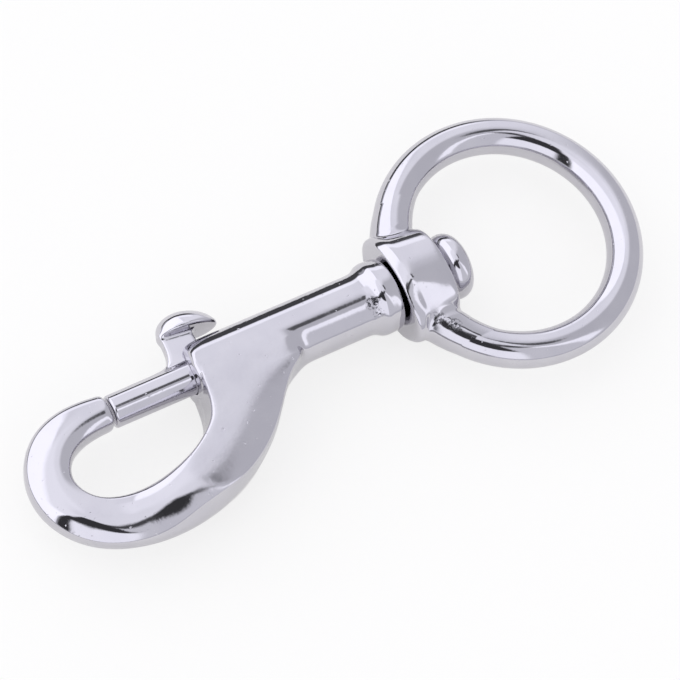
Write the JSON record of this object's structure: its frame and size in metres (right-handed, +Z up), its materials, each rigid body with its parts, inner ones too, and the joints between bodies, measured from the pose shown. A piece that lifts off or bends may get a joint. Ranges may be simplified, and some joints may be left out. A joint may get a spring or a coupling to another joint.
{
  "type": "swivel snap hook",
  "caption": "Cast bolt snap hook with a spring-loaded thumb bolt closing its eye, on a riveted swivel with a large round ring.",
  "frame": {"origin": "centre of the ring's eye, on the swivel axis", "axes": "+X along the swivel axis from the hook to the ring, +Y towards the thumb pad, +Z up from the hook's flat face"},
  "size_m": [0.12, 0.0478, 0.0152],
  "materials": {
    "polished_steel": "polished stainless steel with a soft, slightly pitted cast surface",
    "spring_steel": "drawn spring wire"
  },
  "bodies": {
    "hook": {"hook_body": "polished_steel", "bolt_spring": "spring_steel"},
    "ring": {"swivel_ring": "polished_steel"},
    "bolt": {"latch_bolt": "polished_steel"}
  },
  "joints": [
    {"name": "ring_swivel", "type": "hinge", "parent": "hook", "child": "ring", "pos_m": [-0.0193, 0, 0], "axis": [1, 0, 0], "continuous": true},
    {"name": "bolt_slide", "type": "slide", "parent": "hook", "child": "bolt", "axis": [1, 0, 0], "range_m": [0, 0.013], "stiffness_N_per_m": 350, "springref_m": -0.005, "deforming": ["bolt_spring"]}
  ]
}
